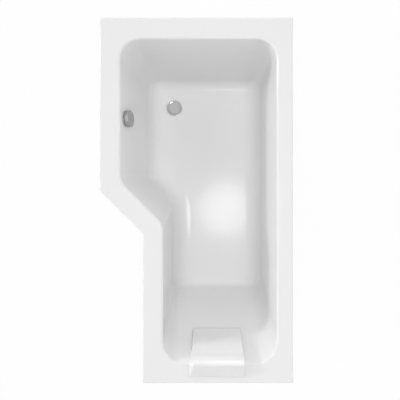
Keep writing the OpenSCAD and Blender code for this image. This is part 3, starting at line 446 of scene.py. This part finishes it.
def panel_shift(x, y):
    """Inward move of one corner of the floor panel's outline."""
    across = 0
    if x > RIGHT_X:
        across = -RIGHT_IN
    elif x < LEFT_X:
        across = LEFT_IN if y > STEP_Y else STEP_IN
    along = -WIDE_END_IN if y > WIDE_END_Y else NARROW_END_IN if y < NARROW_END_Y else 0
    return Vector((across, along, -along * FLOOR_FALL))


def open_floor_panel(piece):
    """Take out the faces of the floor panel and its loose edges; the open edge is left selected."""
    edit(piece, "FACE")
    bpy.ops.mesh.select_all(action="DESELECT")
    done()
    select_floor_panel(piece)
    edit(piece, "FACE")
    bpy.ops.mesh.delete(type="ONLY_FACE")
    bpy.ops.mesh.select_mode(type="EDGE")
    bpy.ops.mesh.select_all(action="DESELECT")
    done()
    used = set()
    for face in piece.data.polygons:
        used.update(face.edge_keys)
    for edge in piece.data.edges:
        edge.select = edge.key not in used
    edit(piece, "EDGE")
    bpy.ops.mesh.delete(type="EDGE")
    bpy.ops.mesh.select_non_manifold(extend=False, use_wire=False, use_boundary=True, use_multi_face=False,
                                     use_non_contiguous=False, use_verts=False)
    done()


def close_floor_panel(piece):
    """Move the open edge, which is selected, to its place and lay a new flat panel in it, with a ring."""
    for vertex in piece.data.vertices:
        if vertex.select and not near_waste(vertex.co):
            vertex.co += panel_shift(vertex.co.x, vertex.co.y)
    edit(piece, "EDGE")
    bpy.ops.mesh.fill(use_beauty=True)
    bpy.ops.mesh.select_all(action="DESELECT")
    done()
    select_floor_panel(piece)
    edit(piece, "FACE")
    bpy.ops.mesh.inset(thickness=CREASE_W, depth=0, use_boundary=True, use_even_offset=True)
    bpy.ops.mesh.select_mode(type="EDGE")
    bpy.ops.mesh.select_all(action="DESELECT")
    done()


def raise_panel_edge(piece):
    """Lift the ring's outer edge a little, and keep both its edges crisp."""
    panel, cove = set(), set()
    for face in piece.data.polygons:
        (panel if on_floor_panel(piece, face) else cove).update(face.vertices)
    outer = {i for i in panel & cove if not near_waste(piece.data.vertices[i].co)}
    inner = {i for face in piece.data.polygons if on_floor_panel(piece, face) and outer & set(face.vertices)
             for i in face.vertices} - outer
    for index in outer:
        piece.data.vertices[index].co.z += CREASE_RISE
    for edge in piece.data.edges:
        edge.select = set(edge.vertices) <= outer or set(edge.vertices) <= inner
    edit(piece, "EDGE")
    bpy.ops.mesh.mark_sharp()
    done()


# A face whose normal rises less than this is upright. The lip's inner faces end this far below the rim.
UPRIGHT = 0.02
LIP_INSIDE = 4 * MM


def is_underside(face):
    """True on the back of the shell and on the inner face of its lip."""
    middle, normal = face.center, face.normal
    outward = normal.x * middle.x + normal.y * middle.y
    upright = abs(normal.z) <= UPRIGHT
    return normal.z < -UPRIGHT or (upright and outward < 0 and middle.z < RIM_Z - LIP_INSIDE)


def make_shell():
    shell = copy_of("bath_shell", "shell_moulding")
    open_floor_panel(shell)
    close_floor_panel(shell)
    raise_panel_edge(shell)
    under = [is_underside(face) for face in shell.data.polygons]
    soften(shell, 30)
    dress(shell, acrylic, backing)
    for face, is_under in zip(shell.data.polygons, under):
        face.material_index = 1 if is_under else 0
    stand_for(shell, "bath_shell")


make_shell()


# ---- Headrest: the solid's form with soft edges, a flat facet along its crest and a thin low end ----
# The backrest leans back by this; the rim ends here, and its rounded mouth runs down to the backrest.
BACK_LEAN = math.radians(37.89)
FLAT_Y = -0.761
MOUTH_R = 12 * MM
BEND_END_Y = FLAT_Y + MOUTH_R * math.cos(BACK_LEAN)
BEND_END_Z = RIM_Z - MOUTH_R + MOUTH_R * math.sin(BACK_LEAN)
# Top line of the pad over the rim: place along the bath, height of the solid and height it is drawn to.
CREST = [
    (-0.8170, 0.5750, 0.5770), (-0.7610, 0.5953, 0.5995), (-0.7550, 0.5974, 0.5985),
    (-0.7506, 0.5978, 0.5972), (-0.7417, 0.5967, 0.5946), (-0.7335, 0.5933, 0.5914),
    (-0.7264, 0.5879, 0.5850), (-0.7234, 0.5846, 0.5818)]
# Below, FROM is the place where a change begins and OVER the length in which it comes in.
# The left side leans where the pad lies on the rim: out at its foot and back in at its top.
LEFT_FOOT_OUT = -9 * MM
LEFT_TOP_IN = 22 * MM
LEFT_TOP_OFF = 27 * MM
LEFT_X_FROM, LEFT_X_OVER = 0.02, 0.047
ON_RIM_FROM, ON_RIM_OVER = -0.69, 0.04
# The front and the low end are thinned by a share that comes in down the backrest; the low end is drawn up.
FRONT_THIN = 0.12
FRONT_FROM, FRONT_OVER = -0.004, 0.03
LOW_END_THIN = 0.52
LOW_END_RISE = 9 * MM
LOW_END_FROM, LOW_END_OVER = 0.07, 0.12
# Fineness of the pad's skin. Smoothing leaves the face that rests alone and works in full further off.
PAD_VOXEL = 3 * MM
HELD_OFF, FREE_OVER = 1.5 * MM, 9 * MM


def down_backrest(y, z):
    """How far down the backrest a point lies."""
    return (y - BEND_END_Y) * math.sin(BACK_LEAN) - (z - BEND_END_Z) * math.cos(BACK_LEAN)


def off_support(y, z):
    """How far a point lies off the rim, its rounded edge or the backrest below it."""
    if y <= FLAT_Y:
        return z - RIM_Z
    if down_backrest(y, z) >= 0:
        return (y - BEND_END_Y) * math.cos(BACK_LEAN) + (z - BEND_END_Z) * math.sin(BACK_LEAN)
    return math.hypot(y - FLAT_Y, z - (RIM_Z - MOUTH_R)) - MOUTH_R


def crest_stretch(y):
    """How much the part above the rim is stretched upward at one place along the bath."""
    if y > CREST[-1][0]:
        return 1
    for (y0, old0, new0), (y1, old1, new1) in zip(CREST, CREST[1:]):
        if y <= y1:
            f = clamp((y - y0) / (y1 - y0))
            old, new = old0 + (old1 - old0) * f, new0 + (new1 - new0) * f
            return (new - RIM_Z) / (old - RIM_Z)
    return 1


def draw_pad(pad):
    """Draw the pad's crest, its left side and its thin low end."""
    for vertex in pad.data.vertices:
        co = vertex.co
        off = max(off_support(co.y, co.z), 0)
        down = down_backrest(co.y, co.z)
        on_rim = ease((ON_RIM_FROM - co.y) / ON_RIM_OVER)
        at_left = ease((LEFT_X_FROM - co.x) / LEFT_X_OVER)
        low = ease((down - LOW_END_FROM) / LOW_END_OVER)
        front = ease((down - FRONT_FROM) / FRONT_OVER)
        thin = (low * LOW_END_THIN + FRONT_THIN * front) * off
        rise = LOW_END_RISE * low
        if co.z > RIM_Z:
            co.z = RIM_Z + (co.z - RIM_Z) * crest_stretch(co.y)
        co.x += at_left * on_rim * (LEFT_FOOT_OUT + LEFT_TOP_IN * min(off / LEFT_TOP_OFF, 1))
        co.y -= thin * math.cos(BACK_LEAN) + rise * math.sin(BACK_LEAN)
        co.z += rise * math.cos(BACK_LEAN) - thin * math.sin(BACK_LEAN)


def make_headrest():
    pad = copy_of("headrest_pad", "headrest_cushion")
    only(pad)
    pad.data.remesh_voxel_size = PAD_VOXEL
    bpy.ops.object.voxel_remesh()
    draw_pad(pad)
    free = pad.vertex_groups.new(name="free")
    for vertex in pad.data.vertices:
        off = off_support(vertex.co.y, vertex.co.z)
        free.add([vertex.index], clamp((off - HELD_OFF) / FREE_OVER), "REPLACE")
    shape_with(pad, "SMOOTH", factor=0.5, iterations=9, vertex_group="free")
    pad.vertex_groups.clear()
    shape_with(pad, "SUBSURF", levels=1, render_levels=1)
    only(pad)
    bpy.ops.object.shade_smooth()
    dress(pad, pad_skin)
    stand_for(pad, "headrest_pad")


make_headrest()


# ---- Chrome, plastic and steel pieces: the solids with smooth rounds ----
SMOOTHED = [
    ("waste_flange", "waste_flange_plated", chrome, "chrome"),
    ("waste_plug", "plug_plated", chrome, "chrome"),
    ("plug_seal", "plug_seal_ring", rubber, "black_rubber"),
    ("overflow_ring", "overflow_ring_plated", chrome, "chrome"),
    ("overflow_knob", "knob_plated", chrome, "chrome"),
    ("knob_spindle", "spindle_turned", zinc, "zinc_steel"),
    ("cable_crank", "crank_moulded", grey_plastic, "grey_plastic"),
    ("lift_lever", "lever_moulded", grey_plastic, "grey_plastic"),
    ("lever_pin", "lever_pin_turned", zinc, "zinc_steel"),
    ("waste_body", "waste_body_moulded", white_plastic, "white_plastic"),
    ("overflow_housing", "overflow_housing_moulded", white_plastic, "white_plastic"),
    ("hose_nuts", "hose_nuts_moulded", white_plastic, "white_plastic"),
    ("trap_nut", "trap_nut_moulded", white_plastic, "white_plastic"),
    ("trap", "trap_moulded", white_plastic, "white_plastic"),
    ("centre_plate", "centre_plate_welded", zinc, "zinc_steel"),
    ("rail_wide", "rail_wide_folded", zinc, "zinc_steel"),
    ("rail_narrow", "rail_narrow_folded", zinc, "zinc_steel"),
    *[("foot_" + leg, "foot_" + leg + "_moulded", foot_plastic, "foot_plastic") for leg in LEGS],
    ("headrest_cups", "suction_cups", cup_rubber, "clear_rubber"),
]
for name, piece_name, material, slot in SMOOTHED:
    smoothed(name, piece_name, material)

# Nodes that keep their solid as it is and only take a material.
PLAIN = {
    "base_board": board,
    "batten_straight": wood_along_y,
    "batten_open": wood_along_y,
    "batten_narrow": wood_along_y,
    "batten_step": wood_along_y,
    "batten_wide_end": wood_along_x,
    "batten_narrow_end": wood_along_x,
    "rail_screws": zinc,
    "nuts_lower": zinc,
    "nuts_upper": zinc,
    "wall_brackets": zinc,
    "bracket_screws": zinc,
    "waste_gasket_top": rubber,
    "waste_gasket_bottom": rubber,
    "trap_washer": rubber,
    "overflow_gasket": rubber,
}
for name, material in PLAIN.items():
    dress(nodes[name], material)


# ---- Overflow hose and control cable along their routes ----
def in_metres(points):
    """Places in millimetres as vectors in metres."""
    return [Vector(p) * MM for p in points]


HOSE_ROUTE = in_metres([
    (-347.08, 390, 432.42), (-343.07, 390, 418.28), (-339.52, 390, 405.78), (-338, 394, 380),
    (-336, 404, 345), (-336, 420, 300), (-335, 440, 255), (-328, 461, 212), (-310, 480, 175),
    (-282, 495, 150), (-250, 503, 140), (-218.3, 504, 135), (-205.3, 504, 135), (-190.3, 504, 135)])
CABLE_ROUTE = in_metres([
    (-364.42, 412, 456.92), (-361.15, 412, 445.38), (-357.87, 412, 433.83), (-352, 421, 395),
    (-349, 434, 345), (-346, 456, 290), (-338, 482, 230), (-316, 508, 182), (-284, 524, 152),
    (-246, 530, 134), (-212, 529, 128), (-186, 528, 127), (-172, 528, 127), (-160, 528, 127)])
# The hose: plain cuffs at both ends, rounded ribs between them, and how many points draw one rib.
CUFF_L = 24 * MM
CUFF_R = 13 * MM
RIB_R, VALLEY_R = 16 * MM, 13.8 * MM
RIB_PITCH = 6.4 * MM
RIB_POINTS = 8
RIB_FULLNESS = 0.8
# The cable's sheath.
CABLE_R = 3 * MM
CABLE_STEP = 3 * MM
SMOOTH_UP_TO = math.radians(50)


def evenly_along(line, step):
    """The same line with points an equal step apart and its own ends, and its length."""
    reach = [0.0]
    for a, b in zip(line, line[1:]):
        reach.append(reach[-1] + (b - a).length)
    count = max(round(reach[-1] / step), 1)
    points, k = [], 0
    for i in range(count + 1):
        want = reach[-1] * i / count
        while k < len(line) - 2 and reach[k + 1] < want:
            k += 1
        share = (want - reach[k]) / (reach[k + 1] - reach[k])
        points.append(line[k].lerp(line[k + 1], clamp(share)))
    return points, reach[-1]


def hose_radius(from_end):
    """Radius of the hose at a place this far from its nearer end."""
    inside = from_end - CUFF_L
    if inside < 0:
        return CUFF_R
    wave = 0.5 - 0.5 * math.cos(2 * math.pi * inside / RIB_PITCH)
    rise = min(inside / (0.5 * RIB_PITCH), 1)
    return CUFF_R + rise * (VALLEY_R - CUFF_R) + (RIB_R - VALLEY_R) * wave ** RIB_FULLNESS * rise


def make_hose():
    """A corrugated hose: rounded ribs and valleys between two plain cuffs."""
    line, length = evenly_along(route_through(HOSE_ROUTE, steps=12), RIB_PITCH / RIB_POINTS)
    places = [length * i / (len(line) - 1) for i in range(len(line))]
    radii = [hose_radius(min(at, length - at)) for at in places]
    hose = tube_along("overflow_hose_ribbed", line, radii, sides=24)
    only(hose)
    bpy.ops.object.shade_smooth_by_angle(angle=SMOOTH_UP_TO)
    dress(hose, hose_plastic)
    stand_for(hose, "overflow_hose")


def make_cable():
    """The control cable's sheath, round and smooth."""
    line, _ = evenly_along(route_through(CABLE_ROUTE, steps=10), CABLE_STEP)
    cable = tube_along("control_cable_sheath", line, [CABLE_R] * len(line), sides=16)
    only(cable)
    bpy.ops.object.shade_smooth_by_angle(angle=SMOOTH_UP_TO)
    dress(cable, cable_sheath)
    stand_for(cable, "control_cable")


make_hose()
make_cable()


# ---- Threaded rods ----
PITCH = 1.5 * MM
ROOT_R = 4.2 * MM
# The core is a little thicker than the root, and the thread starts a little below it, so that they meet.
CORE_OVER = 0.05 * MM
THREAD_SINK = 0.2 * MM
# Height of the thread's foot as a share of the pitch, and the plain end on each side, in pitches.
THREAD_FOOT = 0.96
PLAIN_END = 1.5
END_CHAMFER = 0.8 * MM
TURN_STEPS = 16


def make_rod(name, piece_name):
    """A steel core as long as the CAD rod, with one helical thread wound round it."""
    low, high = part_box(name)
    x, y = (low.x + high.x) / 2, (low.y + high.y) / 2
    outer = (high.x - low.x) / 2
    length = high.z - low.z
    bpy.ops.mesh.primitive_cylinder_add(vertices=24, radius=ROOT_R + CORE_OVER, depth=length,
                                        location=(x, y, (low.z + high.z) / 2))
    core = bpy.context.object
    core.name = piece_name
    shape_with(core, "BEVEL", width=END_CHAMFER, segments=2, limit_method="ANGLE")
    bpy.ops.mesh.primitive_circle_add(vertices=3, radius=PITCH / math.sqrt(3), fill_type="NOTHING",
                                      location=(0, 0, 0), rotation=(math.pi / 2, 0, -math.pi / 2))
    thread = bpy.context.object
    bpy.ops.object.transform_apply(location=False, rotation=True, scale=True)
    peak = max(v.co.x for v in thread.data.vertices)
    back = min(v.co.x for v in thread.data.vertices)
    for v in thread.data.vertices:
        share = (v.co.x - back) / (peak - back)
        v.co.x = ROOT_R - THREAD_SINK + share * (outer - ROOT_R + THREAD_SINK)
        v.co.z *= THREAD_FOOT
    turns = int((length - 2 * PLAIN_END * PITCH) / PITCH)
    shape_with(thread, "SCREW", axis="Z", screw_offset=PITCH, iterations=turns, steps=TURN_STEPS,
               render_steps=TURN_STEPS, use_merge_vertices=True, merge_threshold=0.001 * MM)
    edit(thread)
    bpy.ops.mesh.select_all(action="SELECT")
    bpy.ops.mesh.fill_holes(sides=3)
    bpy.ops.mesh.select_all(action="SELECT")
    bpy.ops.mesh.normals_make_consistent(inside=False)
    done()
    thread.location = (x, y, low.z + PLAIN_END * PITCH)
    only(thread, core)
    bpy.ops.object.join()
    rod = bpy.context.object
    bpy.ops.object.transform_apply(location=True, rotation=True, scale=True)
    bpy.ops.object.shade_smooth_by_angle(angle=math.radians(30))
    dress(rod, zinc)
    stand_for(rod, name)


for leg in LEGS:
    make_rod("rod_" + leg, "threaded_rod_" + leg)


# ---- Floor, light and camera ----
FLOOR_SIZE = 16
FLOOR_GAP = 0.2 * MM
# How much of what the camera sees of the floor is plain white; the rest shows the shadow.
FLOOR_WHITE = 0.95
# Light of the sky from the horizon (0) to overhead (1), and the share lost towards the narrow end.
SKY_TOP = 2.95
SKY = [(0.0, 1.68), (0.17, 1.68), (0.24, 0.26), (0.37, 0.26), (0.43, 1.72), (0.57, 1.72), (0.64, 0.23),
       (0.8, 0.2), (0.89, 0.05), (0.94, SKY_TOP)]
SKY_LOSS = 0.25
# The camera stands straight over the bath, a little off its middle; lens and sensor are in millimetres.
CAMERA_PLACE = (0.0165, 0.0016, RIM_Z + 2.244)
CAMERA_LENS = 43.456
CAMERA_SENSOR = 36


def floor_material():
    f = Finish("studio_floor", grey(0.75), 0.6)
    f.colour(f.ramp(f.noise(1.5, 2), (0.3, grey(0.74)), (0.7, grey(0.76))))
    light_path = f.add("ShaderNodeLightPath")
    white = f.add("ShaderNodeEmission")
    white.inputs["Strength"].default_value = 1.0
    seen = f.add("ShaderNodeMath", operation="MULTIPLY")
    seen.inputs[1].default_value = FLOOR_WHITE
    mix = f.add("ShaderNodeMixShader")
    out = next(n for n in f.tree.nodes if n.type == "OUTPUT_MATERIAL")
    f.join(light_path.outputs["Is Camera Ray"], seen.inputs[0])
    f.join(seen.outputs["Value"], mix.inputs["Fac"])
    f.join(f.shader.outputs["BSDF"], mix.inputs[1])
    f.join(white.outputs["Emission"], mix.inputs[2])
    f.join(mix.outputs["Shader"], out.inputs["Surface"])
    return f.material


bpy.ops.mesh.primitive_plane_add(size=FLOOR_SIZE, location=(0, 0, -FLOOR_GAP))
floor = bpy.context.object
floor.name = "studio_floor"
dress(floor, floor_material())


def worked_out(tree, operation, *values):
    """A sum in the tree: each value is a number or the output of another node."""
    made = tree.nodes.new("ShaderNodeMath")
    made.operation = operation
    for value, place in zip(values, made.inputs):
        if isinstance(value, bpy.types.NodeSocket):
            tree.links.new(value, place)
        else:
            place.default_value = value
    return made.outputs["Value"]


def make_studio():
    """White to the camera, reflections and clear pieces; to all else a sky, brightest overhead."""
    world = bpy.data.worlds.new("studio")
    bpy.context.scene.world = world
    world.use_nodes = True
    tree = world.node_tree
    join = tree.links.new
    way = tree.nodes.new("ShaderNodeTexCoord")
    split = tree.nodes.new("ShaderNodeSeparateXYZ")
    join(way.outputs["Generated"], split.inputs["Vector"])
    ramp = tree.nodes.new("ShaderNodeValToRGB")
    points = ramp.color_ramp.elements
    while len(points) < len(SKY):
        points.new(0.5)
    for point, (at, level) in zip(points, SKY):
        point.position = at
        point.color = (*grey(level / SKY_TOP), 1)
    join(split.outputs["Z"], ramp.inputs["Fac"])
    narrow_side = worked_out(tree, "MINIMUM", split.outputs["Y"], 0)
    strength = worked_out(tree, "MULTIPLY_ADD", narrow_side, SKY_LOSS * SKY_TOP, SKY_TOP)
    light = tree.nodes["Background"]
    join(ramp.outputs["Color"], light.inputs["Color"])
    join(strength, light.inputs["Strength"])
    white = tree.nodes.new("ShaderNodeBackground")
    white.inputs["Color"].default_value = (*grey(1), 1)
    rays = tree.nodes.new("ShaderNodeLightPath").outputs
    direct = worked_out(tree, "MAXIMUM", rays["Is Camera Ray"], rays["Is Glossy Ray"])
    passed = worked_out(tree, "MAXIMUM", direct, rays["Is Transmission Ray"])
    mix = tree.nodes.new("ShaderNodeMixShader")
    join(passed, mix.inputs["Fac"])
    join(light.outputs["Background"], mix.inputs[1])
    join(white.outputs["Background"], mix.inputs[2])
    join(mix.outputs["Shader"], tree.nodes["World Output"].inputs["Surface"])


make_studio()


def soft_lamp(name, place, target, size, power):
    """A round lamp that looks from its place at the target."""
    light = bpy.data.lights.new(name, "AREA")
    light.shape = "DISK"
    light.size = size
    light.energy = power
    lamp = bpy.data.objects.new(name, light)
    lamp.location = place
    aim = Vector(target) - Vector(place)
    lamp.rotation_euler = aim.to_track_quat("-Z", "Y").to_euler()
    lamp.visible_camera = False
    bpy.context.scene.collection.objects.link(lamp)


def low_sun(name, azimuth, height, strength, width):
    """A wide sun low over one side: azimuth, height and width in degrees."""
    light = bpy.data.lights.new(name, "SUN")
    light.energy = strength
    light.angle = math.radians(width)
    lamp = bpy.data.objects.new(name, light)
    around, up = math.radians(azimuth), math.radians(height)
    toward = Vector((math.cos(around) * math.cos(up), math.sin(around) * math.cos(up), math.sin(up)))
    lamp.rotation_euler = (-toward).to_track_quat("-Z", "Y").to_euler()
    bpy.context.scene.collection.objects.link(lamp)


low_sun("key_lamp", azimuth=163, height=15, strength=0.92, width=4)
low_sun("end_lamp", azimuth=97, height=10, strength=0.05, width=10)
soft_lamp("overhead_lamp", place=(0.3, -0.055, 2.9), target=(0.12, -0.02, 0.2), size=0.6, power=4.6)

camera_data = bpy.data.cameras.new("photo_camera")
camera_data.lens = CAMERA_LENS
camera_data.sensor_width = CAMERA_SENSOR
camera = bpy.data.objects.new("photo_camera", camera_data)
camera.location = CAMERA_PLACE
bpy.context.scene.collection.objects.link(camera)
bpy.context.scene.camera = camera

bpy.context.scene.view_settings.view_transform = "Standard"
